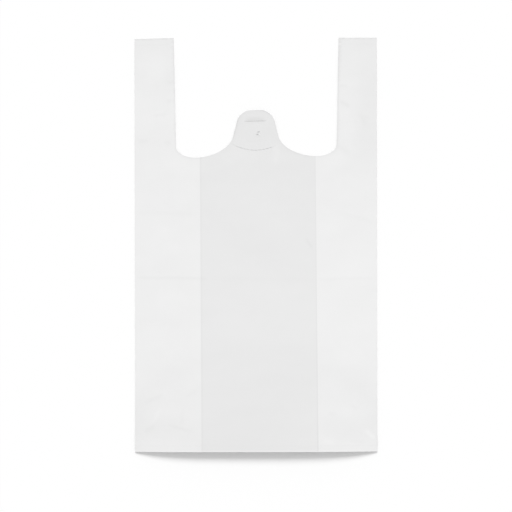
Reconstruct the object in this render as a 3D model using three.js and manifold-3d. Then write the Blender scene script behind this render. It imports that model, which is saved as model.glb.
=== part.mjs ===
// A vest carrier bag of blown film, lying flat and empty as it comes off its pack.
//
// The bag is one piece. A film tube is folded in at both sides, welded across its two ends and
// die-cut through all its plies at once, which leaves two handles and a hanging tab between them.
// Millimetres. X runs across the bag, Y from its bottom edge up to its handles, Z up through the
// plies. The origin is in the middle of the back panel's underside, on the surface it lies on.

import * as THREE from "three";
import { mergeVertices } from "three/addons/utils/BufferGeometryUtils.js";
import Module from "manifold-3d";

const wasm = await Module();
wasm.setup();

// The folded tube
const bagWidth = 280; // across the folded tube, side fold to side fold
const bagHeight = 478; // bottom edge to handle tops
const gussetDepthLeft = 75.5; // how far the left side is folded in
const gussetDepthRight = 70; // and the right side, which the folding boards caught a little less
const filmGauge = 0.02; // thickness of the film
const plyPitch = 0.5; // from one ply to the next where air lies between them
const drapeWidth = 7; // over which the front panel drops off a gusset onto the back panel

// The welds
const weldWidth = 2.4; // of the molten band across the plies
const weldPitch = 0.045; // from one ply to the next where the welding bar has pressed them
const weldBead = 0.03; // that the molten band stands above the front ply
const skirtLength = 6; // of loose film left outside each weld
const plumpLength = 32; // over which the plies part again, inward of a weld

// The die-cut mouth
const mouthDepth = 137.3; // handle tops to the lowest point of the mouth
const handleTopWidth = 45.4;
const handleRootWidth = 48.2;
const handleCornerRise = 13; // height of the round corner at a handle's root
const valleyOffset = 70.4; // of the mouth's lowest points from the middle of the bag
const valleySharpness = 12; // how long the mouth's edge stays level at its lowest points
const handleCornerFullness = 0.52; // share of the corner's height that keeps the handle's side

// The hanging tab
const tabHeight = 54; // above the lowest point of the mouth
const tabNeckWidth = 53.4;
const tabNeckHeight = 23.8; // where the tab's flared foot ends
const tabShoulderWidth = 43.6;
const tabShoulderHeight = 42.8; // where the tab's straight sides end
const tabCrownWidth = 12.8; // of the level stretch along the tab's top
const tabCornerFullness = 0.4; // share of a top corner that keeps the lines it joins
const footFullness = 0.57; // share of the foot's height that keeps the neck's lean
const footSpread = 0.46; // share of the way from neck to valley that stays level

// The slot, the pin hole and the tear line through the tab
const slotLength = 25;
const slotKerf = 1;
const slotDrop = 12.7; // below the tab's top
const pinHoleLength = 3.2;
const pinHoleKerf = 1.1;
const pinHoleOffset = 2.2; // to the right of the middle
const pinHoleHeight = 26.9; // above the lowest point of the mouth
const pinHoleTilt = THREE.MathUtils.degToRad(62);
const tearRadius = 52;
const tearHeight = 7.7; // of the tear line's lowest point above the mouth's lowest point
const tearSpan = 54; // from end to end of the tear line
const tearCut = 3.6; // length of one cut
const tearTie = 0.9; // film left between two cuts
const tearKerf = 0.35;

// How finely the curves are divided
const foldSteps = 6;
const drapeSteps = 6;
const plumpSteps = 4;
const curveSteps = 14;
const cutterMargin = 3; // that a cutter reaches past the film

const stackHeight = 3 * plyPitch + filmGauge;
const mouthBottom = bagHeight - mouthDepth;

// Smooth rise from 0 to 1, level at both ends.
function ease(share) {
  return THREE.MathUtils.smootherstep(share, 0, 1);
}

// The distance from ply to ply at a height up the bag: pressed together at both welds and in the
// skirts outside them, parted by air in between.
function pitchAt(height) {
  const pressed = skirtLength + weldWidth;
  const inward = Math.min(height, bagHeight - height) - pressed;
  return weldPitch + (plyPitch - weldPitch) * ease(inward / plumpLength);
}

// Half of the film's centreline across the tube, from the middle of the back panel out to the
// side, in and out again round the gusset, and back to the middle of the front panel.
function halfSection(pitch, gussetDepth) {
  const radius = pitch / 2;
  const side = bagWidth / 2 - filmGauge / 2;
  const gussetNose = side - gussetDepth;
  const points = [new THREE.Vector2(0, 0)];
  const addFold = (x, z, start, turn) => {
    for (let i = 0; i <= foldSteps; i++) {
      const angle = start + (turn * i) / foldSteps;
      points.push(new THREE.Vector2(x + radius * Math.cos(angle), z + radius * Math.sin(angle)));
    }
  };
  addFold(side - radius, radius, -Math.PI / 2, Math.PI);
  addFold(gussetNose + radius, 3 * radius, -Math.PI / 2, -Math.PI);
  addFold(side - radius, 5 * radius, -Math.PI / 2, Math.PI);
  for (let i = 0; i <= drapeSteps; i++) {
    const share = i / drapeSteps;
    const drop = 2 * pitch * ease(share);
    points.push(new THREE.Vector2(gussetNose - drapeWidth * share, 3 * pitch - drop));
  }
  return points;
}

// The closed centreline of the film, counter-clockwise seen with X to the right and Z up.
function wholeSection(pitch) {
  const right = halfSection(pitch, gussetDepthRight);
  const left = halfSection(pitch, gussetDepthLeft).map((p) => new THREE.Vector2(-p.x, p.y));
  return [...right, ...left.slice(1).reverse()];
}

// The film's two faces at one height: its centreline moved out and in by half the gauge.
function filmFaces(height) {
  const centreline = wholeSection(pitchAt(height));
  const count = centreline.length;
  const moved = (distance) =>
    centreline.map((p, i) => {
      const before = centreline[(i + count - 1) % count];
      const after = centreline[(i + 1) % count];
      const along = after.clone().sub(before).normalize();
      return new THREE.Vector3(
        p.x + distance * along.y,
        height,
        p.y - distance * along.x + filmGauge / 2,
      );
    });
  return { outside: moved(filmGauge / 2), inside: moved(-filmGauge / 2) };
}

// The heights at which the tube's section is drawn, closer together where the plies part.
function stationHeights() {
  const pressed = skirtLength + weldWidth;
  const lower = [0];
  for (let i = 0; i <= plumpSteps; i++) lower.push(pressed + (plumpLength * i) / plumpSteps);
  return [...lower, ...lower.map((height) => bagHeight - height).reverse()];
}

// The gusseted tube, open at both ends: a loft through the film's sections.
function filmTube() {
  const stations = stationHeights().map(filmFaces);
  const count = stations[0].outside.length;
  const positions = [];
  const quad = (a, b, c, d) => {
    for (const p of [a, b, c, a, c, d]) positions.push(p.x, p.y, p.z);
  };
  for (let k = 0; k + 1 < stations.length; k++) {
    const low = stations[k];
    const high = stations[k + 1];
    for (let i = 0; i < count; i++) {
      const next = (i + 1) % count;
      quad(low.outside[i], high.outside[i], high.outside[next], low.outside[next]);
      quad(low.inside[i], low.inside[next], high.inside[next], high.inside[i]);
    }
  }
  const bottom = stations[0];
  const top = stations[stations.length - 1];
  for (let i = 0; i < count; i++) {
    const next = (i + 1) % count;
    quad(bottom.outside[i], bottom.outside[next], bottom.inside[next], bottom.inside[i]);
    quad(top.outside[i], top.inside[i], top.inside[next], top.outside[next]);
  }
  const tube = new THREE.BufferGeometry();
  tube.setAttribute("position", new THREE.Float32BufferAttribute(positions, 3));
  return tube;
}

// A molten band across all the plies, from one height to weldWidth above it.
function weldBand(fromHeight) {
  const side = bagWidth / 2;
  const thick = 3 * weldPitch + filmGauge + weldBead;
  const thin = weldPitch + filmGauge + weldBead;
  const noseLeft = gussetDepthLeft - side;
  const noseRight = side - gussetDepthRight;
  const band = new THREE.Shape();
  band.moveTo(-side, 0);
  band.lineTo(side, 0);
  band.lineTo(side, thick);
  band.lineTo(noseRight, thick);
  band.lineTo(noseRight - drapeWidth, thin);
  band.lineTo(noseLeft + drapeWidth, thin);
  band.lineTo(noseLeft, thick);
  band.lineTo(-side, thick);
  band.closePath();
  const geometry = new THREE.ExtrudeGeometry(band, { depth: weldWidth, bevelEnabled: false });
  geometry.rotateX(Math.PI / 2);
  geometry.translate(0, fromHeight + weldWidth, 0);
  return geometry;
}

// A cutter that goes through every ply: a flat outline, extruded up from below the film.
function throughCutter(outline) {
  const depth = stackHeight + 2 * cutterMargin;
  const geometry = new THREE.ExtrudeGeometry(outline, {
    depth,
    bevelEnabled: false,
    curveSegments: curveSteps,
  });
  geometry.translate(0, 0, -cutterMargin);
  return geometry;
}

// The waste that the die punches out: the mouth, with the hanging tab standing in it.
function mouthWaste() {
  const handleTop = bagWidth / 2 - handleTopWidth;
  const handleRoot = bagWidth / 2 - handleRootWidth;
  const above = bagHeight + cutterMargin;
  const neck = tabNeckWidth / 2;
  const shoulder = tabShoulderWidth / 2;
  const crown = tabCrownWidth / 2;
  const height = (rise) => mouthBottom + rise;
  // How far the tab's sides lean in for each millimetre of height.
  const lean = (neck - shoulder) / (tabShoulderHeight - tabNeckHeight);
  const footPull = footFullness * tabNeckHeight;
  const shoulderPull = tabCornerFullness * (tabHeight - tabShoulderHeight);
  const crownPull = tabCornerFullness * (shoulder - crown);
  const rootPull = handleCornerFullness * handleCornerRise;
  const footLevel = footSpread * (valleyOffset - neck);

  const waste = new THREE.Shape();
  waste.moveTo(handleTop, above);
  waste.lineTo(-handleTop, above);
  waste.lineTo(-handleTop, bagHeight);
  // Down the left handle, round the valley beside it and up the tab's left side.
  waste.lineTo(-handleRoot, height(handleCornerRise));
  waste.bezierCurveTo(
    -handleRoot, height(handleCornerRise - rootPull),
    -valleyOffset - valleySharpness, height(0),
    -valleyOffset, height(0),
  );
  waste.bezierCurveTo(
    -valleyOffset + footLevel, height(0),
    -neck - lean * footPull, height(tabNeckHeight - footPull),
    -neck, height(tabNeckHeight),
  );
  waste.lineTo(-shoulder, height(tabShoulderHeight));
  waste.bezierCurveTo(
    -shoulder + lean * shoulderPull, height(tabShoulderHeight + shoulderPull),
    -crown - crownPull, height(tabHeight),
    -crown, height(tabHeight),
  );
  // Over the tab and back down its right side, mirrored.
  waste.lineTo(crown, height(tabHeight));
  waste.bezierCurveTo(
    crown + crownPull, height(tabHeight),
    shoulder - lean * shoulderPull, height(tabShoulderHeight + shoulderPull),
    shoulder, height(tabShoulderHeight),
  );
  waste.lineTo(neck, height(tabNeckHeight));
  waste.bezierCurveTo(
    neck + lean * footPull, height(tabNeckHeight - footPull),
    valleyOffset - footLevel, height(0),
    valleyOffset, height(0),
  );
  waste.bezierCurveTo(
    valleyOffset + valleySharpness, height(0),
    handleRoot, height(handleCornerRise - rootPull),
    handleRoot, height(handleCornerRise),
  );
  waste.lineTo(handleTop, bagHeight);
  waste.closePath();
  return throughCutter(waste);
}

// The outline of a cut with round ends, centred on the origin along X.
function roundEndedCut(length, kerf) {
  const radius = kerf / 2;
  const reach = length / 2 - radius;
  const cut = new THREE.Shape();
  cut.absarc(reach, 0, radius, -Math.PI / 2, Math.PI / 2, false);
  cut.absarc(-reach, 0, radius, Math.PI / 2, (3 * Math.PI) / 2, false);
  cut.closePath();
  return cut;
}

// The slot that a pack hangs by.
function slotCutter() {
  const geometry = throughCutter(roundEndedCut(slotLength, slotKerf));
  geometry.translate(0, mouthBottom + tabHeight - slotDrop, 0);
  return geometry;
}

// The hole left by the hot pin that holds a pack together.
function pinHoleCutter() {
  const geometry = throughCutter(roundEndedCut(pinHoleLength, pinHoleKerf));
  geometry.rotateZ(pinHoleTilt);
  geometry.translate(pinHoleOffset, mouthBottom + pinHoleHeight, 0);
  return geometry;
}

// The cuts of the tear line, evenly spaced along an arc across the tab's foot.
function tearCutters() {
  const halfAngle = Math.asin(tearSpan / 2 / tearRadius);
  const arcLength = 2 * halfAngle * tearRadius;
  const count = Math.round((arcLength + tearTie) / (tearCut + tearTie));
  const step = (tearCut + tearTie) / tearRadius;
  const centreHeight = mouthBottom + tearHeight + tearRadius;
  const cutters = [];
  for (let i = 0; i < count; i++) {
    const angle = (i - (count - 1) / 2) * step;
    const geometry = new THREE.BoxGeometry(tearCut, tearKerf, stackHeight + 2 * cutterMargin);
    geometry.rotateZ(angle);
    geometry.translate(
      tearRadius * Math.sin(angle),
      centreHeight - tearRadius * Math.cos(angle),
      stackHeight / 2,
    );
    cutters.push(geometry);
  }
  return cutters;
}

// A closed geometry as a solid that can be joined and cut.
function solidOf(geometry) {
  const bare = geometry.index ? geometry.toNonIndexed() : geometry.clone();
  bare.deleteAttribute("normal");
  bare.deleteAttribute("uv");
  const merged = mergeVertices(bare, 1e-4);
  return new wasm.Manifold(
    new wasm.Mesh({
      numProp: 3,
      vertProperties: merged.getAttribute("position").array,
      triVerts: new Uint32Array(merged.index.array),
    }),
  );
}

// A solid as a geometry, with flat-shaded normals.
function geometryOf(solid) {
  const mesh = solid.getMesh();
  const geometry = new THREE.BufferGeometry();
  geometry.setAttribute("position", new THREE.BufferAttribute(mesh.vertProperties, 3));
  geometry.setIndex(new THREE.BufferAttribute(mesh.triVerts, 1));
  geometry.computeVertexNormals();
  return geometry;
}

// The whole bag: the tube, welded at both ends, then die-cut.
function carrierBag() {
  let film = solidOf(filmTube());
  film = film.add(solidOf(weldBand(skirtLength)));
  film = film.add(solidOf(weldBand(bagHeight - skirtLength - weldWidth)));
  for (const cutter of [mouthWaste(), slotCutter(), pinHoleCutter(), ...tearCutters()]) {
    film = film.subtract(solidOf(cutter));
  }
  return geometryOf(film);
}

const whiteFilm = new THREE.MeshStandardMaterial({
  color: 0xeaeaea,
  roughness: 0.42,
  metalness: 0,
});

const bag = new THREE.Mesh(carrierBag(), whiteFilm);
bag.name = "bag";
bag.position.y = -bagHeight / 2;

const carrier = new THREE.Group();
carrier.add(bag);

export default carrier;
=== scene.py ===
import math

import bpy
import numpy as np
from mathutils.geometry import delaunay_2d_cdt
from mathutils.kdtree import KDTree
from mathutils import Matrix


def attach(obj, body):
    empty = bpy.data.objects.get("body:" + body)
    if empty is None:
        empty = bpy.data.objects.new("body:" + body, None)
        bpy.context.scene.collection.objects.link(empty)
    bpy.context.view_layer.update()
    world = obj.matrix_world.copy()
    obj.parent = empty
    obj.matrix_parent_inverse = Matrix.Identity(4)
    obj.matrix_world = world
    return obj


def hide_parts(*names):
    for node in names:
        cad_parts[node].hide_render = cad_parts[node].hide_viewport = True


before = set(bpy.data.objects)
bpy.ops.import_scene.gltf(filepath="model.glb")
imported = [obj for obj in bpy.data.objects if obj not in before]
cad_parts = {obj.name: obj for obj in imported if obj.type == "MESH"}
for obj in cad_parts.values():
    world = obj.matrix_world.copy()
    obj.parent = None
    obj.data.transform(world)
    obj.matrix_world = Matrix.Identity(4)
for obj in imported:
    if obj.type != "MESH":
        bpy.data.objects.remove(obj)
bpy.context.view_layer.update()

scene = bpy.context.scene
MM = 0.001

# The cut film
# One tube of blown high-density polyethylene, milky white and 0.02 mm thick. A die stamps the
# mouth, the hanging slot and the tear line through all the plies, so each ply has the same edge.
BAG_WIDTH = 280 * MM
BAG_HEIGHT = 478 * MM
FILM_GAUGE = 0.02 * MM
MOUTH_DEPTH = 137.3 * MM
HANDLE_TOP_WIDTH = 44.5 * MM
HANDLE_ROOT_WIDTH = 46.9 * MM
HANDLE_CORNER_RISE = 13 * MM
HANDLE_CORNER_FULLNESS = 0.52
VALLEY_OFFSET = 70.4 * MM
VALLEY_SHARPNESS = 12 * MM
TAB_HEIGHT = 54 * MM
TAB_NECK = (26.1 * MM, 23.8 * MM)
TAB_SHOULDER = (21.2 * MM, 42.8 * MM)
TAB_CROWN = 6.4 * MM
TAB_CORNER_FULLNESS = 0.4
FOOT_FULLNESS = 0.57
FOOT_SPREAD = 0.46
CUT_STEP = 1.6 * MM
valley = BAG_HEIGHT - MOUTH_DEPTH


def evenly(points, step):
    """Points at even steps along a line, its two ends among them."""
    points = np.asarray(points, float)
    legs = np.linalg.norm(np.diff(points, axis=0), axis=1)
    along = np.concatenate([[0.0], np.cumsum(legs)])
    at = np.linspace(0.0, along[-1], max(1, round(along[-1] / step)) + 1)
    return np.column_stack([np.interp(at, along, points[:, i]) for i in (0, 1)])


def bezier(start, pull_start, pull_end, end, count=40):
    """A cubic curve as points."""
    t = np.linspace(0.0, 1.0, count)[:, None]
    s = 1.0 - t
    start, pull_start, pull_end, end = (np.array(p) for p in (start, pull_start, pull_end, end))
    return s**3 * start + 3 * s * s * t * pull_start + 3 * s * t * t * pull_end + t**3 * end


def mouth_edge():
    """The mouth's edge on the right half, from the handle's top to the middle of the tab."""
    side = BAG_WIDTH / 2
    handle_top = side - HANDLE_TOP_WIDTH
    handle_root = side - HANDLE_ROOT_WIDTH
    neck, neck_rise = TAB_NECK
    shoulder, shoulder_rise = TAB_SHOULDER
    lean = (neck - shoulder) / (shoulder_rise - neck_rise)
    foot_pull = FOOT_FULLNESS * neck_rise
    corner_pull = TAB_CORNER_FULLNESS * (TAB_HEIGHT - shoulder_rise)
    crown_pull = TAB_CORNER_FULLNESS * (shoulder - TAB_CROWN)
    root_pull = HANDLE_CORNER_FULLNESS * HANDLE_CORNER_RISE
    foot_level = FOOT_SPREAD * (VALLEY_OFFSET - neck)
    root = [handle_root, valley + HANDLE_CORNER_RISE]
    lowest = [VALLEY_OFFSET, valley]
    neck_end = [neck, valley + neck_rise]
    shoulder_end = [shoulder, valley + shoulder_rise]
    crown_end = [TAB_CROWN, valley + TAB_HEIGHT]
    corner = bezier(
        root,
        [handle_root, valley + HANDLE_CORNER_RISE - root_pull],
        [VALLEY_OFFSET + VALLEY_SHARPNESS, valley],
        lowest,
    )
    foot = bezier(
        lowest,
        [VALLEY_OFFSET - foot_level, valley],
        [neck + lean * foot_pull, valley + neck_rise - foot_pull],
        neck_end,
    )
    crown = bezier(
        shoulder_end,
        [shoulder - lean * corner_pull, valley + shoulder_rise + corner_pull],
        [TAB_CROWN + crown_pull, valley + TAB_HEIGHT],
        crown_end,
    )
    top = [[handle_top, BAG_HEIGHT]]
    middle = [[0.0, valley + TAB_HEIGHT]]
    return evenly(np.concatenate([top, corner, foot[1:], crown, middle]), CUT_STEP)


right_edge = mouth_edge()
left_edge = (right_edge * (-1, 1))[::-1]

# The folded tube
# The tube is folded in at both sides, so four plies lie there and two between the gussets.
# Pulled off its pack it keeps a little air between the plies and springs up at its free ends.
FOLD_REACH = 0.3 * MM
LEFT_NOSE = (-63.2 * MM, -65.4 * MM)
RIGHT_NOSE = (72.0 * MM, 68.2 * MM)
SKIRT = 6 * MM
WELD_WIDTH = 2.4 * MM
PRESSED = 0.045 * MM
PLUMP = 34 * MM
PINCH = 0.35
PINCH_REACH = 24 * MM
DRAPE = 3.2 * MM
FOLD_AIR = 0.05 * MM
NOSE_AIR = 0.12 * MM
GUSSET_AIR = 0.1 * MM
UNDER_AIR = 0.26 * MM
UNDER_UNEVEN = 0.12 * MM
OVER_AIR = 0.3 * MM
OVER_UNEVEN = 0.14 * MM
PANEL_AIR = 0.4 * MM
PANEL_UNEVEN = 0.2 * MM
PANEL_PLUMP = 60 * MM
RIPPLE = 0.012 * MM
fold_x = BAG_WIDTH / 2 - FOLD_REACH


def rise(value, start, end):
    """0 at start, 1 at end, and smooth between them."""
    t = np.clip((value - start) / (end - start), 0.0, 1.0)
    return t * t * (3.0 - 2.0 * t)


def swell(x, y, length, seed):
    """A smooth random field, about -1 to 1, whose waves are about a length apart."""
    draw = np.random.default_rng(seed)
    total = np.zeros_like(x)
    waves = 9
    for _ in range(waves):
        angle, phase = draw.uniform(0.0, math.tau, 2)
        pace = math.tau / (length * draw.uniform(0.7, 1.6))
        total += np.sin(pace * (x * math.cos(angle) + y * math.sin(angle)) + phase)
    return total / math.sqrt(waves)


def nose(y, side):
    """How far out the gusset's inner fold lies at a height, on one side."""
    low, high = RIGHT_NOSE if side > 0 else LEFT_NOSE
    return np.abs(low + (high - low) * y / BAG_HEIGHT)


def nearest(points, tree):
    """The distance from each point to the nearest point of a tree, and the way there."""
    found = [tree.find((p[0], p[1], 0.0)) for p in points]
    distance = np.array([f[2] for f in found])
    towards = np.array([f[0][:2] for f in found]) - points
    return distance, towards


def tree_of(points):
    tree = KDTree(len(points))
    for i, p in enumerate(points):
        tree.insert((p[0], p[1], 0.0), i)
    tree.balance()
    return tree


cut_tree = tree_of(evenly(np.concatenate([right_edge, left_edge]), MM))


def parted(x, y):
    """How far the plies have parted: 0 at both welds, 1 where air lies between them, and little
    along the mouth, where the die has pinched them."""
    inward = np.minimum(y, BAG_HEIGHT - y) - SKIRT - WELD_WIDTH
    from_cut = nearest(np.column_stack([x, y]), cut_tree)[0]
    return rise(inward, 0.0, PLUMP) * (PINCH + (1.0 - PINCH) * rise(from_cut, 0.0, PINCH_REACH))


def gaps(x, y, side):
    """From the back panel up to each ply above it: lower gusset, upper gusset, front panel."""
    inner = nose(y, side)
    across = np.clip((np.abs(x) - inner) / (fold_x - inner), 0.0, 1.0)
    belly = 4.0 * across * (1.0 - across)
    air = parted(x, y)
    under_belly = UNDER_AIR + UNDER_UNEVEN * swell(x, y, 90 * MM, 3)
    over_belly = OVER_AIR + OVER_UNEVEN * swell(x, y, 70 * MM, 5)
    under = PRESSED + air * (FOLD_AIR + belly * under_belly)
    between = PRESSED + air * (NOSE_AIR + GUSSET_AIR * (across + belly))
    over = PRESSED + air * (FOLD_AIR + belly * over_belly)
    return under, under + between, under + between + over


def front_gap(x, y):
    """From the back panel up to the front panel, over the gussets and between them."""
    side = np.where(x > 0, 1, -1)
    inner = np.where(side > 0, nose(y, 1), nose(y, -1))
    over_right = gaps(np.maximum(x, inner), y, 1)[2]
    over_left = gaps(np.minimum(x, -inner), y, -1)[2]
    stack = np.where(side > 0, over_right, over_left)
    inward = inner - np.abs(x)
    puff = PANEL_AIR + PANEL_UNEVEN * swell(x, y, 80 * MM, 7)
    air = parted(x, y) * (NOSE_AIR + rise(inward, 0.0, PANEL_PLUMP) * puff)
    down = rise(inward, 0.0, DRAPE)
    ripple = RIPPLE * swell(x, y, 17 * MM, 17)
    return stack * (1.0 - down) + down * (PRESSED + air) + ripple


# Creases left by the pack's folds and by handling: ends, half width and height, in millimetres.
# One that stands up carries painted shade along its line; one that is pressed in, below 0, is
# whiter.
CREASE_RELIEF = 0.6
CREASE_WANDER = 0.8 * MM
CREASE_WAVE = 11 * MM
CREASE_STRAIGHTNESS = 24 * MM * MM
CREASE_FADE = 12 * MM
FULL_MARK = 0.1
CREASES = (
    ((-141, -37.2), (-52, -38.6), 1.9, 0.10),
    ((-56, -38.8), (72, -40.0), 2.6, 0.03),
    ((68, -39.6), (141, -38.4), 2.2, 0.06),
    ((-141, 38.8), (-66, 36.6), 2.8, 0.045),
    ((96, 37.5), (140, 24.0), 2.6, 0.055),
    ((-129, 199.0), (-104, 193.0), 7.0, -0.03),
    ((-104, 188.4), (-91, 190.4), 2.2, 0.12),
    ((-106, 167.2), (-91, 169.4), 2.2, 0.10),
    ((-122, 150.4), (-99, 154.6), 1.9, 0.08),
    ((-138, 123.4), (-122, 122.2), 2.4, 0.08),
    ((-108, 120.6), (-97, 119.6), 2.0, 0.08),
    ((95, 184.4), (108, 183.6), 2.0, 0.08),
    ((96, 168.4), (110, 158.2), 2.4, 0.12),
    ((116, 150.0), (134, 144.4), 3.0, 0.07),
    ((122, 157.0), (127, 133.0), 2.6, 0.08),
    ((93, 116.2), (110, 101.4), 3.0, 0.11),
    ((-104, -205.6), (-70, -216.4), 2.2, 0.11),
    ((-132, -182.8), (-104, -171.8), 2.6, 0.09),
    ((-132, -215.5), (-114, -207.5), 2.8, 0.11),
    ((-123, -209.0), (-109, -186.0), 2.4, -0.035),
    ((-84, -176.0), (-66, -166.0), 2.6, 0.06),
    ((-84.5, -183.0), (-85, -217.0), 2.0, 0.06),
    ((125, -211.0), (139, -226.0), 2.6, -0.08),
    ((82, -192.8), (94, -196.2), 2.0, 0.08),
    ((110, -183.0), (119, -190.0), 2.4, 0.06),
    ((76, -223.0), (92, -231.0), 3.4, -0.035),
    ((106, -225.4), (128, -226.8), 2.0, 0.07),
    ((56, 9.5), (67, -4.5), 1.7, 0.13),
    ((25.5, 117.0), (21.0, 88.0), 3.2, -0.03),
    ((27.5, 119.0), (20.5, 106.0), 2.6, -0.04),
    ((-60, -196.0), (40, -188.0), 6.0, 0.03),
)


def crease_marks(x, y):
    """The height of all the creases at each point, and how much painted shade (over 0) or
    whiteness they carry.
    """
    height = np.zeros_like(x)
    mark = np.zeros_like(x)
    for start, end, width, tall in CREASES:
        start = np.array(start) * MM + (0.0, BAG_HEIGHT / 2)
        run = np.array(end) * MM + (0.0, BAG_HEIGHT / 2) - start
        length = np.linalg.norm(run)
        run /= length
        along = (x - start[0]) * run[0] + (y - start[1]) * run[1]
        wander = min(CREASE_WANDER, CREASE_STRAIGHTNESS / length)
        wander = wander * np.sin(along / CREASE_WAVE + 1.7 * width)
        off = (y - start[1]) * run[0] - (x - start[0]) * run[1] - wander
        end_fade = min(CREASE_FADE, length / 3)
        window = rise(along, 0.0, end_fade) * rise(length - along, 0.0, end_fade)
        shape = window * np.exp(-((off / (width * MM)) ** 2))
        height += CREASE_RELIEF * tall * MM * shape
        here = shape * tall / FULL_MARK
        mark = np.where(np.abs(here) > np.abs(mark), here, mark)
    return height, mark


# How the bag lies: its bottom end is sprung up, most in the middle and least at its corners, its
# handles and tab stand a little off the surface, and between them it is broadly uneven.
SPRUNG_HEIGHT = 7.5 * MM
SPRUNG_REACH = 118 * MM
SPRUNG_REACH_LOST = 64 * MM
SPRUNG_BEYOND = 24 * MM
SPRUNG_CORNER = 0.2
HANDLE_LIFT = 0.3 * MM
TAB_LIFT = 1.5 * MM
HUMP_HEIGHT = 0.6 * MM
HUMP_SHARE = 0.55
HUMP_UNEVEN = 0.38
HUMP_LOST_AT_SIDES = 0.85
DIMPLE = 0.03 * MM
STANDING = 0.05 * MM


def lie(x, y):
    """How high the back panel lies off the surface."""
    out = np.abs(x)
    outward = np.clip(out / (BAG_WIDTH / 2), 0.0, 1.0)
    reach = SPRUNG_REACH - SPRUNG_REACH_LOST * outward**2
    full = SPRUNG_CORNER + (1.0 - SPRUNG_CORNER) * (1.0 - outward**5)
    bottom = SPRUNG_HEIGHT * full * rise(reach - y, 0.0, reach + SPRUNG_BEYOND)
    handles = rise(out, 60 * MM, 96 * MM) * rise(y, valley, BAG_HEIGHT + 60 * MM)
    tab = rise(y, valley + 4 * MM, valley + 80 * MM) * (1.0 - rise(out, 24 * MM, 70 * MM))
    hump = HUMP_SHARE + HUMP_UNEVEN * swell(x, y, 150 * MM, 11)
    hump *= 1.0 - HUMP_LOST_AT_SIDES * rise(out, 64 * MM, 104 * MM)
    return (
        bottom
        + HANDLE_LIFT * handles
        + TAB_LIFT * tab
        + HUMP_HEIGHT * np.maximum(hump, 0.0)
        + DIMPLE * swell(x, y, 26 * MM, 13)
        + STANDING
    )


# The slot, the pin holes and the tear line
# A pack hangs by the slot, whose upper lip has been pressed in. A hot pin tacked the pack
# together and left two torn holes, with a tongue of film beside the lower one. Each bag is torn
# off along the dashes, and the outer ones are cut finer.
SLOT_LENGTH = 25 * MM
SLOT_CENTRE = -0.6 * MM
SLOT_KERF = 0.26 * MM
SLOT_DROP = 12.7 * MM
SLOT_TILT = 0.2
LIP_DEPTH = 0.43 * MM
LIP_WIDTH = 5.2 * MM
LIP_END = 0.3
LOWER_LIP_HEIGHT = 0.35 * LIP_DEPTH
LOWER_LIP_WIDTH = 3 * MM
PIN_RIM_HEIGHT = 0.22 * MM
PIN_RIM_REACH = 2.4 * MM
PIN_HOLES = (
    ((3.1 * MM, valley + 28.7 * MM), 1.6 * MM, 0.32 * MM, 10.0),
    ((2.0 * MM, valley + 25.9 * MM), 1.1 * MM, 0.39 * MM, 16.0),
)
TONGUE_HALF_WIDTH = 1.05 * MM
TONGUE_TAPER = 0.8
TONGUE_LENGTH = 1.9 * MM
TONGUE_ASIDE = 1.3 * MM
TONGUE_DOWN = 1.2 * MM
TONGUE_LIFT = 0.1 * MM
TONGUE_CURL = 0.06 * MM
TONGUE_WHITE = -1.2
TEAR_RADIUS = 52 * MM
TEAR_RISE = 7.7 * MM
TEAR_SPAN = 54 * MM
TEAR_CUT = 3.6 * MM
TEAR_TIE = 0.9 * MM
TEAR_KERF = 0.3 * MM
TEAR_CLEAREST = 5.5
TEAR_CLEAR = (4.0, 5.5)
TEAR_FAINTNESS = 0.8
slot_height = valley + TAB_HEIGHT - SLOT_DROP
pin_centre = np.mean([hole[0] for hole in PIN_HOLES], axis=0)


def lens(centre, half_length, half_width, degrees, count, bluntness=0.5):
    """The outline of a slim cut, whose ends are the blunter the nearer to 1 its bluntness is."""
    t = np.linspace(0.0, math.tau, count, endpoint=False)
    across = half_width * np.sign(np.sin(t)) * np.abs(np.sin(t)) ** (1.6 * (1.0 - bluntness))
    points = np.column_stack([half_length * np.cos(t), across])
    c, s = math.cos(math.radians(degrees)), math.sin(math.radians(degrees))
    return points @ np.array([[c, s], [-s, c]]) + np.asarray(centre)


def tab_cuts():
    """Every cut in the tab: the slot, the torn pin holes and the dashes of the tear line."""
    slot_at = (SLOT_CENTRE, slot_height)
    cuts = [lens(slot_at, SLOT_LENGTH / 2, SLOT_KERF / 2, SLOT_TILT, 40, 0.8)]
    for centre, half_length, half_width, degrees in PIN_HOLES:
        cuts.append(lens(centre, half_length, half_width, degrees, 14))
    arc = 2 * math.asin(TEAR_SPAN / 2 / TEAR_RADIUS) * TEAR_RADIUS
    count = round((arc + TEAR_TIE) / (TEAR_CUT + TEAR_TIE))
    centre_height = valley + TEAR_RISE + TEAR_RADIUS
    for i in range(count):
        angle = (i - (count - 1) / 2) * (TEAR_CUT + TEAR_TIE) / TEAR_RADIUS
        centre = (TEAR_RADIUS * math.sin(angle), centre_height - TEAR_RADIUS * math.cos(angle))
        faint = TEAR_FAINTNESS * rise(abs(i - TEAR_CLEAREST), *TEAR_CLEAR)
        half_kerf = TEAR_KERF / 2 * (1.0 - faint)
        cuts.append(lens(centre, TEAR_CUT / 2, half_kerf, math.degrees(angle), 8, 0.7))
    return cuts


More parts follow.
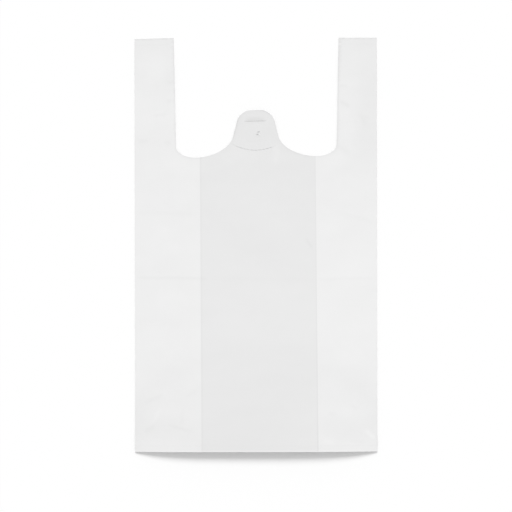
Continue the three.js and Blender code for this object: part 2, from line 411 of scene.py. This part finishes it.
def tab_marks(x, y):
    """How the slot's lips and the swelling round the pin holes lift or sink the tab's plies."""
    from_slot = y - slot_height
    width = np.clip(1.0 - ((x - SLOT_CENTRE) / (SLOT_LENGTH / 2)) ** 4, 0.0, 1.0)
    lip_width = LIP_WIDTH * (LIP_END + (1.0 - LIP_END) * width)
    sink = LIP_DEPTH * width * (1.0 - rise(from_slot, 0.0, lip_width))
    lift = LOWER_LIP_HEIGHT * width * rise(from_slot, -LOWER_LIP_WIDTH, 0.0)
    around = np.hypot(x - pin_centre[0], y - pin_centre[1])
    rim = PIN_RIM_HEIGHT * np.exp(-((around / PIN_RIM_REACH) ** 2))
    return np.where(from_slot > 0, -sink, lift) + rim


def pin_tongue():
    """The torn tongue beside the lower hole, as rows of points. Its lower end is lifted a little
    off the film, and its sides are curled down."""
    centre, half_length, _, _ = PIN_HOLES[1]
    rows = []
    for along in np.linspace(0.0, 1.0, 6):
        half_width = TONGUE_HALF_WIDTH * math.sqrt(1.0 - TONGUE_TAPER * along)
        across = np.linspace(-half_width, half_width, 5)
        x = centre[0] + half_length + TONGUE_ASIDE + across
        y = centre[1] - TONGUE_DOWN + TONGUE_LENGTH * along
        z = TONGUE_LIFT * (1.0 - along) ** 1.3 - TONGUE_CURL * (across / half_width) ** 2
        rows.append(np.column_stack([x, np.full(len(across), y), z]))
    return rows


# The bag's mesh
# Every ply is triangulated to the die's outline and laid at its own level. The folds join the
# plies into one film, which gets the film's thickness, so the mesh is closed like the real film.
PLY_STEP = 3 * MM
GUSSET_STEP = 5 * MM
ROW_PITCH = 0.866
EDGE_CLEARANCE = 0.8
FINE_CLEARANCE = 0.6
SAME_POINT = 1e-9
SLIVER = 0.001 * MM * MM
CREASE_ZONE = 2.2
FOLD_ROUNDS = 4
MOUTH_TILT = 0.012
MOUTH_SHIFT = 0.1 * MM
TOP_SHIFT = 0.4 * MM
TOP_LEFT_DROP = 1.1 * MM
HANDLE_SHIFT = 0.6 * MM
# The rim: painted shade along the cut edges, fading over its reach and deeper on edges that face
# left.
RIM_SHADE_STEP = 0.4 * MM
RIM_SHADE_REACH = 0.9 * MM
RIM_SHADE_LEVEL = 0.7
RIM_SHADE_LEANING = 0.3
NO_DISTANCE = 1e-7
fold_heights = np.linspace(0.0, BAG_HEIGHT, round(BAG_HEIGHT / PLY_STEP) + 1)


def inside(points, loop):
    """Which points lie inside a closed loop."""
    result = np.zeros(len(points), bool)
    for a, b in zip(loop, np.roll(loop, -1, axis=0)):
        if a[1] == b[1]:
            continue
        crossed = (a[1] > points[:, 1]) != (b[1] > points[:, 1])
        at = a[0] + (points[:, 1] - a[1]) * (b[0] - a[0]) / (b[1] - a[1])
        result ^= crossed & (points[:, 0] < at)
    return result


def staggered(low, high, step):
    """Points in staggered rows over a rectangle."""
    rows = np.arange(low[1], high[1], step * ROW_PITCH)
    points = []
    for i, height in enumerate(rows):
        xs = np.arange(low[0] + (i % 2) * step / 2, high[0], step)
        points.append(np.column_stack([xs, np.full(len(xs), height)]))
    return np.concatenate(points)


def cut_ply(outline, holes, step, fine=()):
    """One ply as points and triangles. The outline's own points come first, in their order."""
    all_round = evenly(np.concatenate([outline, outline[:1]]), CUT_STEP / 2)
    edge_tree = tree_of(np.concatenate([all_round, *holes]))
    filling = staggered(outline.min(axis=0), outline.max(axis=0), step)
    distance = nearest(filling, edge_tree)[0]
    filling = filling[distance > EDGE_CLEARANCE * step]
    filling = filling[inside(filling, outline)]
    if fine:
        rims = staggered(outline.min(axis=0), outline.max(axis=0), CUT_STEP)
        near = np.zeros(len(rims), bool)
        for low, high in fine:
            near |= np.all((rims > low) & (rims < high), axis=1)
        rims = rims[near]
        distance = nearest(rims, edge_tree)[0]
        rims = rims[distance > FINE_CLEARANCE * CUT_STEP]
        rims = rims[inside(rims, outline)]
        for low, high in fine:
            filling = filling[~np.all((filling > low) & (filling < high), axis=1)]
        filling = np.concatenate([filling, rims])
    for hole in holes:
        filling = filling[~inside(filling, hole)]
    points = np.concatenate([outline, *holes, filling])
    edges, start = [], 0
    for loop in (outline, *holes):
        ring = np.arange(start, start + len(loop))
        edges += zip(ring.tolist(), np.roll(ring, -1).tolist())
        start += len(loop)
    result = delaunay_2d_cdt([tuple(p) for p in points], edges, [], 0, SAME_POINT)
    if len(result[0]) != len(points):
        raise RuntimeError("the ply's outline crosses itself")
    triangles = np.array([f for f in result[2] if len(f) == 3])
    corners = points[triangles]
    middles = corners.mean(axis=1)
    one, other = corners[:, 1] - corners[:, 0], corners[:, 2] - corners[:, 0]
    twice_the_area = np.abs(one[:, 0] * other[:, 1] - one[:, 1] * other[:, 0])
    kept = inside(middles, outline) & (twice_the_area > SLIVER)
    for hole in holes:
        kept &= ~inside(middles, hole)
    return points, triangles[kept]


def row(start, end, step):
    """Points from start towards end, without the last one."""
    return evenly([start, end], step)[:-1]


right_fold = np.column_stack([np.full(len(fold_heights), fold_x), fold_heights])
left_fold = right_fold * (-1, 1)
handle_inner = tuple(right_edge[0])
panel_outline = np.concatenate(
    [
        right_fold[:-1],
        row((fold_x, BAG_HEIGHT), handle_inner, PLY_STEP),
        right_edge[:-1],
        left_edge[:-1],
        row((-handle_inner[0], BAG_HEIGHT), (-fold_x, BAG_HEIGHT), PLY_STEP),
        left_fold[::-1][:-1],
        row((-fold_x, 0.0), (fold_x, 0.0), PLY_STEP),
    ]
)
cuts = tab_cuts()
zones = [
    ((-34 * MM, valley), (34 * MM, valley + TAB_HEIGHT + MM)),
    ((-BAG_WIDTH, -MM), (BAG_WIDTH, SKIRT + WELD_WIDTH + 5 * MM)),
]
back_points, back_triangles = cut_ply(panel_outline, cuts, PLY_STEP, zones)
for start, end, width, _ in CREASES:
    if width * MM < PLY_STEP:
        ends = np.array([start, end]) * MM + (0.0, BAG_HEIGHT / 2)
        around = CREASE_ZONE * width * MM
        zones.append((tuple(ends.min(axis=0) - around), tuple(ends.max(axis=0) + around)))
front_points, front_triangles = cut_ply(panel_outline, cuts, PLY_STEP, zones)


def gusset_ply(side):
    """One gusset ply, its triangles, and the point numbers along its outer and inner folds."""
    edge = right_edge
    beyond = edge[:, 0] > nose(edge[:, 1], side) + FOLD_REACH
    last = np.argmin(beyond)
    foot = (edge[last - 1] + edge[last]) / 2
    foot[0] = nose(foot[1], side) + FOLD_REACH
    heights = np.append(fold_heights[fold_heights < foot[1] - MM], foot[1])
    inner_fold = np.column_stack([nose(heights, side) + FOLD_REACH, heights])
    top = row((fold_x, BAG_HEIGHT), handle_inner, GUSSET_STEP)
    outline = np.concatenate(
        [
            right_fold[:-1],
            top,
            edge[:last],
            inner_fold[::-1][:-1],
            row(tuple(inner_fold[0]), (fold_x, 0.0), GUSSET_STEP),
        ]
    )
    points, triangles = cut_ply(outline, [], GUSSET_STEP)
    outer = np.arange(len(right_fold))
    first = len(right_fold) - 1 + len(top) + last
    inner = first + np.arange(len(inner_fold))[::-1]
    inner = np.where(inner == len(outline), 0, inner)
    if side < 0:
        points = points * (-1, 1)
        triangles = triangles[:, ::-1]
    return points, triangles, outer, inner


class Film:
    """The points and faces of the film, gathered ply by ply."""

    def __init__(self):
        self.points, self.faces, self.count = [], [], 0

    def add(self, points):
        self.points.append(points)
        numbers = np.arange(self.count, self.count + len(points))
        self.count += len(points)
        return numbers

    def ply(self, plan, height, triangles, turned):
        numbers = self.add(np.column_stack([plan, height]))
        corners = numbers[triangles]
        self.faces += (corners[:, ::-1] if turned else corners).tolist()
        return numbers

    def fold(self, below, above, side, bulge):
        """A rounded fold from a row of points up to the row above it, on one side of the bag. It
        stands out from the bag where its bulge is 1, and in towards the middle where it is -1."""
        every = np.concatenate(self.points)
        low, high = every[below], every[above]
        rows = [below]
        for i in range(1, FOLD_ROUNDS):
            turn = math.pi * i / FOLD_ROUNDS
            middle = (low + high) / 2 + (low - high) / 2 * math.cos(turn)
            middle[:, 0] += side * bulge * FOLD_REACH * math.sin(turn)
            rows.append(self.add(middle))
        rows.append(above)
        for first, second in zip(rows[:-1], rows[1:]):
            for a, b, c, d in zip(first[:-1], first[1:], second[1:], second[:-1]):
                face = [int(a), int(b), int(c), int(d)]
                self.faces.append(face if side > 0 else face[::-1])


def askew(plan):
    """The mouth stands a little askew, as the die met the film, and the handles' tops less so."""
    x, y = plan.T
    upper = rise(y, 200 * MM, valley)
    top = rise(y, valley + 10 * MM, BAG_HEIGHT)
    mouth_shift = MOUTH_TILT * x + MOUTH_SHIFT
    top_shift = TOP_SHIFT - TOP_LEFT_DROP * rise(-x, 92 * MM, 142 * MM)
    out = np.abs(x)
    aside = rise(out, 30 * MM, 80 * MM) * (1.0 - rise(out, 100 * MM, 139 * MM))
    shifted_x = x + upper * HANDLE_SHIFT * aside
    shifted_y = y + upper * ((1.0 - top) * mouth_shift + top * top_shift)
    return np.column_stack([shifted_x, shifted_y])


def surface(x, y):
    """The back panel's height, with everything that moves all the plies together."""
    return lie(x, y) + crease_marks(x, y)[0] + tab_marks(x, y)


def placed(name, data):
    """A new object in the scene."""
    thing = bpy.data.objects.new(name, data)
    scene.collection.objects.link(thing)
    return thing


def film_piece(name, points, faces, marks):
    """A smooth piece of film as thick as its gauge, sharp where it is cut, with values at its
    points for the finish."""
    mesh = bpy.data.meshes.new(name)
    mesh.from_pydata(points.tolist(), [], faces)
    for mark_name, values in marks.items():
        attribute = mesh.attributes.new(mark_name, "FLOAT", "POINT")
        attribute.data.foreach_set("value", values.astype("f"))
    mesh.polygons.foreach_set("use_smooth", np.ones(len(mesh.polygons), bool))
    mesh.validate()
    loop_edges = np.empty(len(mesh.loops), int)
    mesh.loops.foreach_get("edge_index", loop_edges)
    is_cut = np.bincount(loop_edges, minlength=len(mesh.edges)) == 1
    mesh.attributes.new("sharp_edge", "BOOLEAN", "EDGE").data.foreach_set("value", is_cut)
    piece = placed(name, mesh)
    thicken = piece.modifiers.new("gauge", "SOLIDIFY")
    thicken.thickness = FILM_GAUGE
    thicken.offset = 0.0
    return piece


film = Film()
back = film.ply(back_points, surface(*back_points.T), back_triangles, True)
front_height = surface(*front_points.T) + front_gap(*front_points.T)
front = film.ply(front_points, front_height, front_triangles, False)
right_line = np.arange(len(right_fold))
top_count = len(row((fold_x, BAG_HEIGHT), handle_inner, PLY_STEP))
left_first = len(right_fold) - 1 + 2 * (len(right_edge) - 1) + 2 * top_count
left_line = (left_first + np.arange(len(left_fold)))[::-1]
for side, line in ((1, right_line), (-1, left_line)):
    plan, triangles, outer, inner = gusset_ply(side)
    gx, gy = plan.T
    base = surface(gx, gy)
    under, upper, _ = gaps(gx, gy, side)
    lower_ply = film.ply(plan, base + under, triangles, False)
    upper_ply = film.ply(plan, base + upper, triangles, True)
    film.fold(back[line], lower_ply[outer], side, 1)
    film.fold(upper_ply[outer], front[line], side, 1)
    film.fold(lower_ply[inner], upper_ply[inner], side, -1)

points = np.concatenate(film.points)
# rim: painted shade along the cut edges, fading within about a millimetre and deepest on edges
# that face left.
free_edge = evenly(np.concatenate([right_fold[-1:], right_edge]), RIM_SHADE_STEP)
rim_shade_tree = tree_of(np.concatenate([free_edge, free_edge * (-1, 1)]))
edge_distance, edge_way = nearest(points[:, :2], rim_shade_tree)
rightward = np.clip(edge_way[:, 0] / np.maximum(edge_distance, NO_DISTANCE), -1.0, 1.0)
rim = np.exp(-edge_distance / RIM_SHADE_REACH) * (RIM_SHADE_LEVEL - RIM_SHADE_LEANING * rightward)
mark = crease_marks(points[:, 0], points[:, 1])[1]
points[:, :2] = askew(points[:, :2])
points[:, 1] -= BAG_HEIGHT / 2
bag = film_piece("bag_film", points, film.faces, {"rim": rim, "mark": mark})

rows = pin_tongue()
x, y, curl = np.concatenate(rows).T
height = surface(x, y) + front_gap(x, y) + curl
tongue_points = np.column_stack([askew(np.column_stack([x, y])), height])
tongue_points[:, 1] -= BAG_HEIGHT / 2
wide = len(rows[0])
tongue_faces = [
    (k, k + 1, k + 1 + wide, k + wide)
    for k in range(wide * (len(rows) - 1))
    if k % wide < wide - 1
]
torn = np.full(len(tongue_points), TONGUE_WHITE)
tongue = film_piece("pin_tongue", tongue_points, tongue_faces, {"mark": torn})

# The film's finish
# Blown film has a satin skin with a fine crinkle and faint streaks along its length. Where the
# gussets lie under the front panel the four plies look whiter than the two between them. Painted
# shade lies along the gussets' fold lines, the creases and the cut edges and towards the bottom,
# a painted light lies in the middle, and a painted highlight runs along the bottom edge.
TWO_PLY = 0.827
FOUR_PLY = 0.877
NOSE_BLUR = 0.4 * MM
# Painted shade along the gussets' fold lines: its widths, where it peaks and ends, and its
# strength.
LEFT_FOLD_SHADE_WIDTH = 3.4 * MM
RIGHT_FOLD_SHADE_WIDTH = 2.2 * MM
FOLD_SHADE_PEAK = 0.6 * MM
FOLD_SHADE_END = 0.2 * MM
LEFT_FOLD_SHADE_LOW = 0.4
RIGHT_FOLD_SHADE = 0.6
RIGHT_FOLD_SHADE_LOW = 0.9
RIGHT_FOLD_SHADE_LOWEST = 1.2
FOLD_SHADE_DEPTH = 0.09
# Painted shade towards the bottom and along the right side, and darker at the handles' tops and
# below the mouth, all mixed towards one darker grey.
FOOT_SHADE = 1.9
FOOT_SHADE_LEANING = 2.5
FOOT_SHADE_NARROWING = 22
FOOT_SHADE_START = -92 * MM
FOOT_SHADE_START_DROP = 2.8
FOOT_SHADE_FULL = -183 * MM
FOOT_SHADE_FULL_DROP = 1.2
TOP_DARKENING = 0.75
MOUTH_DARKENING = 0.3
SIDE_SHADE_LOST_AT_TOP = 0.6
DARKENING_DEPTH = 0.1
DARKENING_GREY = 0.6
CLOUDED = 0.62
# A painted light in the middle, where the broad hump shades the film.
PAINTED_LIGHT = 0.6
# A painted highlight along the bottom edge, where the film's edge catches the lamp.
BOTTOM_HIGHLIGHT = 0.95
BOTTOM_HIGHLIGHT_DEPTH = 0.45
BOTTOM_HIGHLIGHT_TOP = -237.2 * MM
BOTTOM_HIGHLIGHT_FOOT = -238.8 * MM
# Painted shade along the creases that stand up, and whiter ones that are pressed in.
CREASE_SHADE_DEPTH = 0.09
CREASE_WHITE = 0.97
CREASE_WHITENING = 0.3
# Painted shade along the cut edges.
RIM_SHADE_GREY = 0.5
RIM_SHADE_DEPTH = 0.12
RIM_SHADE_TOP = 0.12
RIM_SHADE_RIGHT_HANDLE = 0.15
RIM_SHADE_TAB_LEFT = 0.4
RIM_SHADE_CROWN = 0.18
STREAK_SCALES = (600.0, 9.0, 1.0)
CRINKLE_DEPTH = 0.02 * MM
FILM_IOR = 1.5


class Wire:
    """A socket of a shader, with the sums that its finish needs."""

    def __init__(self, tree, socket=None):
        self.tree, self.socket = tree, socket

    def node(self, kind, settings, inputs, output=0):
        """A new node: its settings first, then its sockets, and one output comes back."""
        made = self.tree.nodes.new(kind)
        for key, value in settings.items():
            setattr(made, key, value)
        for key, value in inputs.items():
            if isinstance(value, Wire):
                self.tree.links.new(value.socket, made.inputs[key])
            else:
                made.inputs[key].default_value = value
        if not made.outputs:
            return None
        if isinstance(output, tuple):
            return [Wire(self.tree, made.outputs[name]) for name in output]
        return Wire(self.tree, made.outputs[output])

    def sum(self, operation, first, second):
        return self.node("ShaderNodeMath", {"operation": operation}, {0: first, 1: second})

    def __add__(self, other):
        return self.sum("ADD", self, other)

    __radd__ = __add__

    def __sub__(self, other):
        return self.sum("SUBTRACT", self, other)

    def __rsub__(self, other):
        return self.sum("SUBTRACT", other, self)

    def __mul__(self, other):
        return self.sum("MULTIPLY", self, other)

    __rmul__ = __mul__

    def ramp(self, start, end):
        """0 at start, 1 at end, and smooth between them."""
        settings = {"interpolation_type": "SMOOTHSTEP"}
        sockets = {"Value": self, "From Min": start, "From Max": end}
        return self.node("ShaderNodeMapRange", settings, sockets)

    def mix(self, factor, first, second):
        """A colour between two others."""
        sockets = {"Factor": factor, 6: first, 7: second}
        return self.node("ShaderNodeMix", {"data_type": "RGBA"}, sockets, 2)


def grey(level):
    return (level, level, level, 1.0)


def past_noses(x_at, y_at):
    """How far each place lies beyond the left and the right gusset's inner fold."""
    left_slope = (LEFT_NOSE[1] - LEFT_NOSE[0]) / BAG_HEIGHT
    right_slope = (RIGHT_NOSE[1] - RIGHT_NOSE[0]) / BAG_HEIGHT
    left_middle = (LEFT_NOSE[0] + LEFT_NOSE[1]) / 2
    right_middle = (RIGHT_NOSE[0] + RIGHT_NOSE[1]) / 2
    return left_middle + left_slope * y_at - x_at, x_at - right_slope * y_at - right_middle


def fold_line_shade(y_at, into_left, into_right):
    """The painted shade just inward of the gussets' folds, where the front panel drapes off them,
    which is stronger towards the bottom.
    """
    past_left = into_left.ramp(-FOLD_SHADE_PEAK, FOLD_SHADE_END)
    past_right = into_right.ramp(-FOLD_SHADE_PEAK, FOLD_SHADE_END)
    left_line = into_left.ramp(-LEFT_FOLD_SHADE_WIDTH, -FOLD_SHADE_PEAK) * (1 - past_left)
    right_line = into_right.ramp(-RIGHT_FOLD_SHADE_WIDTH, -FOLD_SHADE_PEAK) * (1 - past_right)
    low = y_at.ramp(-40 * MM, -150 * MM)
    lowest = y_at.ramp(-180 * MM, -225 * MM)
    right_strength = RIGHT_FOLD_SHADE + RIGHT_FOLD_SHADE_LOW * low + RIGHT_FOLD_SHADE_LOWEST * lowest
    return left_line * (1 + LEFT_FOLD_SHADE_LOW * low) + right_line * right_strength


def painted_darkening(x_at, y_at):
    """How much darker the film is painted: painted shade towards the bottom, most at its left,
    which offsets the light on the sprung-up end's slope, and along the right side, shaded by its
    fold; and darker at the handles' tops and below the mouth."""
    off_middle = x_at * x_at
    start = FOOT_SHADE_START - FOOT_SHADE_START_DROP * off_middle
    foot = y_at.ramp(start, FOOT_SHADE_FULL - FOOT_SHADE_FULL_DROP * off_middle)
    foot = foot * (FOOT_SHADE - FOOT_SHADE_LEANING * x_at - FOOT_SHADE_NARROWING * off_middle)
    top = TOP_DARKENING * y_at.ramp(160 * MM, 220 * MM)
    mouth = MOUTH_DARKENING * y_at.ramp(62 * MM, 90 * MM) * y_at.ramp(150 * MM, 112 * MM)
    side = x_at.ramp(104 * MM, 128 * MM) * y_at.ramp(80 * MM, 140 * MM)
    side = side * (1 - SIDE_SHADE_LOST_AT_TOP * y_at.ramp(170 * MM, 215 * MM))
    return foot + (top + mouth) + side


def film_colour(wire, x_at, y_at, shade):
    """The film's white: by its plies, with painted shade along the gussets' fold lines, the
    painted darkening, a painted light in the middle and a painted highlight along the bottom
    edge.
    """
    into_left, into_right = past_noses(x_at, y_at)
    four = into_left.ramp(-NOSE_BLUR, NOSE_BLUR) + into_right.ramp(-NOSE_BLUR, NOSE_BLUR)
    # A painted light in the middle: less haze there, which offsets the broad hump's shade.
    painted_light = y_at.ramp(60 * MM, -10 * MM) * y_at.ramp(-170 * MM, -100 * MM)
    painted_light = painted_light * x_at.ramp(-90 * MM, -40 * MM)
    # A painted highlight along the bottom edge.
    bottom_highlight = y_at.ramp(BOTTOM_HIGHLIGHT_TOP, BOTTOM_HIGHLIGHT_FOOT)
    colour = wire.mix(four, grey(TWO_PLY), grey(FOUR_PLY))
    colour = wire.mix(shade * (1 - PAINTED_LIGHT * painted_light), colour, grey(CLOUDED))
    fold_shade = fold_line_shade(y_at, into_left, into_right)
    # Painted shade along the gussets' fold lines.
    colour = wire.mix(fold_shade * FOLD_SHADE_DEPTH, colour, grey(DARKENING_GREY))
    # Painted shade towards the bottom and along the right side, and darker at the handles' tops
    # and below the mouth.
    colour = wire.mix(painted_darkening(x_at, y_at) * DARKENING_DEPTH, colour, grey(DARKENING_GREY))
    return wire.mix(bottom_highlight * BOTTOM_HIGHLIGHT_DEPTH, colour, grey(BOTTOM_HIGHLIGHT))


def rim_shade_depth(x_at, y_at):
    """How deep the painted shade along a cut edge is: a little everywhere, and more at the
    handles' tops, on the right handle, at the tab's left side and to the right of its crown."""
    top = y_at.ramp(170 * MM, 225 * MM)
    right_handle = x_at.ramp(82 * MM, 90 * MM) * x_at.ramp(108 * MM, 100 * MM)
    tab_left = x_at.ramp(-14 * MM, -20 * MM) * x_at.ramp(-40 * MM, -34 * MM)
    tab_left = tab_left * y_at.ramp(112 * MM, 130 * MM)
    crown = x_at.ramp(4 * MM, 8 * MM) * x_at.ramp(19 * MM, 14 * MM)
    crown = crown * y_at.ramp(146 * MM, 151 * MM)
    depth = RIM_SHADE_DEPTH + (RIM_SHADE_TOP * top + RIM_SHADE_RIGHT_HANDLE * right_handle)
    return depth + RIM_SHADE_TAB_LEFT * tab_left + RIM_SHADE_CROWN * crown


def bare_finish(name):
    """A new material without nodes, and the wire to build it with."""
    finish = bpy.data.materials.new(name)
    finish.use_nodes = True
    finish.node_tree.nodes.clear()
    return finish, Wire(finish.node_tree)


finish, wire = bare_finish("white_film")
place = wire.node("ShaderNodeTexCoord", {}, {}, "Object")
x_at, y_at = wire.node("ShaderNodeSeparateXYZ", {}, {0: place}, ("X", "Y"))
mottle = wire.node("ShaderNodeTexNoise", {}, {"Vector": place, "Scale": 85.0, "Detail": 3.0})
cloud = wire.node("ShaderNodeTexNoise", {}, {"Vector": place, "Scale": 14.0, "Detail": 2.0})
streak_place = wire.node(
    "ShaderNodeVectorMath", {"operation": "MULTIPLY"}, {0: place, 1: STREAK_SCALES}
)
streak = wire.node("ShaderNodeTexNoise", {}, {"Vector": streak_place, "Scale": 1.0})
rim_shade_at = wire.node("ShaderNodeAttribute", {"attribute_name": "rim"}, {}, "Fac")
mark_at = wire.node("ShaderNodeAttribute", {"attribute_name": "mark"}, {}, "Fac")
crease_shade = wire.sum("MAXIMUM", mark_at, 0.0)
white_crease = wire.sum("MAXIMUM", -1 * mark_at, 0.0)
colour = film_colour(wire, x_at, y_at, 0.05 * mottle + 0.05 * cloud + 0.02 * streak)
# Painted shade along the creases that stand up.
colour = wire.mix(crease_shade * CREASE_SHADE_DEPTH, colour, grey(DARKENING_GREY))
colour = wire.mix(white_crease * CREASE_WHITENING, colour, grey(CREASE_WHITE))
# Painted shade along the cut edges.
colour = wire.mix(rim_shade_at * rim_shade_depth(x_at, y_at), colour, grey(RIM_SHADE_GREY))
crinkle = wire.node(
    "ShaderNodeTexNoise", {}, {"Vector": place, "Scale": 130.0, "Detail": 4.0, "Roughness": 0.6}
)
bump = wire.node(
    "ShaderNodeBump",
    {},
    {"Height": crinkle + 0.4 * streak, "Distance": CRINKLE_DEPTH, "Strength": 1.0},
)
roughness = 0.52 + 0.12 * mottle + 0.06 * streak
skin = wire.node(
    "ShaderNodeBsdfPrincipled",
    {},
    {"Base Color": colour, "Roughness": roughness, "Normal": bump, "IOR": FILM_IOR},
)
wire.node("ShaderNodeOutputMaterial", {}, {"Surface": skin})
for piece in (bag, tongue):
    piece.data.materials.append(finish)
    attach(piece, "root")
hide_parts("bag")

# The welds
# A hot bar melts the plies together across the bottom and across the top of each handle. The
# band is a little glassier than the film and stands a hair above it, with fine ribs across.
WELD_BEAD = 0.008 * MM
WELD_STEP = 2.5 * MM
RIB_DEPTH = 0.01 * MM
weld_across = WELD_WIDTH * np.array([0.0, 0.12, 0.5, 0.88, 1.0])
weld_bead = WELD_BEAD * np.array([0.2, 0.8, 1.0, 0.8, 0.2])
weld_finish, wire = bare_finish("film_weld")
place = wire.node("ShaderNodeTexCoord", {}, {}, "Object")
melt = wire.node("ShaderNodeTexNoise", {}, {"Vector": place, "Scale": 300.0, "Detail": 2.0})
ribs = wire.node("ShaderNodeTexWave", {"bands_direction": "X"}, {"Vector": place, "Scale": 260.0})
x_at, y_at = wire.node("ShaderNodeSeparateXYZ", {}, {0: place}, ("X", "Y"))
colour = film_colour(wire, x_at, y_at, 0.03 + 0.12 * melt)
bump = wire.node(
    "ShaderNodeBump", {}, {"Height": 0.4 * ribs + melt, "Distance": RIB_DEPTH, "Strength": 1.0}
)
skin = wire.node(
    "ShaderNodeBsdfPrincipled",
    {},
    {"Base Color": colour, "Roughness": 0.34 + 0.12 * melt, "Normal": bump, "IOR": FILM_IOR},
)
wire.node("ShaderNodeOutputMaterial", {}, {"Surface": skin})


def weld(name, from_x, to_x, height):
    """A molten band across all the plies, from one height to the band's width above it."""
    heights = height + weld_across
    rings = []
    for x in np.linspace(from_x, to_x, round(abs(to_x - from_x) / WELD_STEP) + 1):
        here = np.full(len(heights), x)
        base = surface(here, heights)
        top = base + front_gap(here, heights) + FILM_GAUGE / 2 + weld_bead
        upper = np.column_stack([askew(np.column_stack([here, heights])), top])
        lower = upper.copy()
        lower[:, 2] = base - FILM_GAUGE
        rings.append(np.concatenate([upper, lower[::-1]]))
    size = len(rings[0])
    faces = [list(range(size))[::-1], list(range((len(rings) - 1) * size, len(rings) * size))]
    for i in range(len(rings) - 1):
        for j in range(size):
            k = (j + 1) % size
            faces.append([i * size + j, i * size + k, (i + 1) * size + k, (i + 1) * size + j])
    band_points = np.concatenate(rings)
    band_points[:, 1] -= BAG_HEIGHT / 2
    band_mesh = bpy.data.meshes.new(name)
    band_mesh.from_pydata(band_points.tolist(), [], faces)
    band_mesh.materials.append(weld_finish)
    band = placed(name, band_mesh)
    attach(band, "root")


weld_side = fold_x + 0.5 * FOLD_REACH
handle_weld = BAG_HEIGHT - SKIRT - WELD_WIDTH
weld_inner = handle_inner[0]
weld("weld_bottom", -weld_side, weld_side, SKIRT)
weld("weld_handle_left", -weld_side, -weld_inner, handle_weld)
weld("weld_handle_right", weld_inner, weld_side, handle_weld)

# The studio
# A white table under a broad even sky, and a soft low lamp beyond the handles, a little to the
# left. The camera looks straight down, far enough off for the bag to keep its proportions.
SKY = 0.59
LAMP_SHARE = 0.41
LAMP_HEIGHT = math.radians(34)
LAMP_TURN = math.radians(92)
LAMP_SPREAD = math.radians(24)
TABLE_LIFT = 0.05
TABLE_HALF = 4.0
TABLE_LEVEL = -0.02 * MM
FRAME_WIDTH = 0.5925
FRAME_CENTRE = (0.1 * MM, -12.9 * MM)
FRAME_TURN = math.radians(-0.09)
LENS = 120.0
FILM_BACK = 36.0


def seen(wire):
    """1 for what the camera, a reflection or a clear body shows, and 0 for light on surfaces."""
    rays = ("Is Camera Ray", "Is Glossy Ray", "Is Transmission Ray")
    camera_ray, glossy_ray, clear_ray = wire.node("ShaderNodeLightPath", {}, {}, rays)
    return wire.sum("MAXIMUM", wire.sum("MAXIMUM", camera_ray, glossy_ray), clear_ray)


world = bpy.data.worlds.new("studio")
scene.world = world
world.use_nodes = True
world.node_tree.nodes.clear()
wire = Wire(world.node_tree)
sky = wire.node("ShaderNodeBackground", {}, {"Color": grey(1.0), "Strength": SKY})
backdrop = wire.node("ShaderNodeBackground", {}, {"Color": grey(1.0), "Strength": 1.0})
both = wire.node("ShaderNodeMixShader", {}, {0: seen(wire), 1: sky, 2: backdrop})
wire.node("ShaderNodeOutputWorld", {}, {"Surface": both})

table_finish, wire = bare_finish("table")
matt = wire.node("ShaderNodeBsdfDiffuse", {}, {"Color": grey(1.0)})
glow = wire.node("ShaderNodeEmission", {}, {"Color": grey(1.0), "Strength": 1.0})
top = wire.node("ShaderNodeMixShader", {}, {0: seen(wire) * TABLE_LIFT, 1: matt, 2: glow})
wire.node("ShaderNodeOutputMaterial", {}, {"Surface": top})

table_mesh = bpy.data.meshes.new("table")
corners = [
    (x * TABLE_HALF, y * TABLE_HALF, TABLE_LEVEL) for x, y in ((-1, -1), (1, -1), (1, 1), (-1, 1))
]
table_mesh.from_pydata(corners, [], [(0, 1, 2, 3)])
table_mesh.materials.append(table_finish)
table = placed("table", table_mesh)

lamp_data = bpy.data.lights.new("lamp", "SUN")
lamp_data.energy = LAMP_SHARE * math.pi / math.sin(LAMP_HEIGHT)
lamp_data.angle = LAMP_SPREAD
lamp = placed("lamp", lamp_data)
lamp.visible_glossy = False
lamp.rotation_euler = (0.0, math.pi / 2 - LAMP_HEIGHT, LAMP_TURN)

camera_data = bpy.data.cameras.new("camera")
camera_data.lens = LENS
camera_data.sensor_width = FILM_BACK
camera_data.clip_end = 20.0
camera = placed("camera", camera_data)
camera.location = (*FRAME_CENTRE, FRAME_WIDTH * LENS / FILM_BACK)
camera.rotation_euler = (0.0, 0.0, FRAME_TURN)
scene.camera = camera
scene.view_settings.view_transform = "Standard"
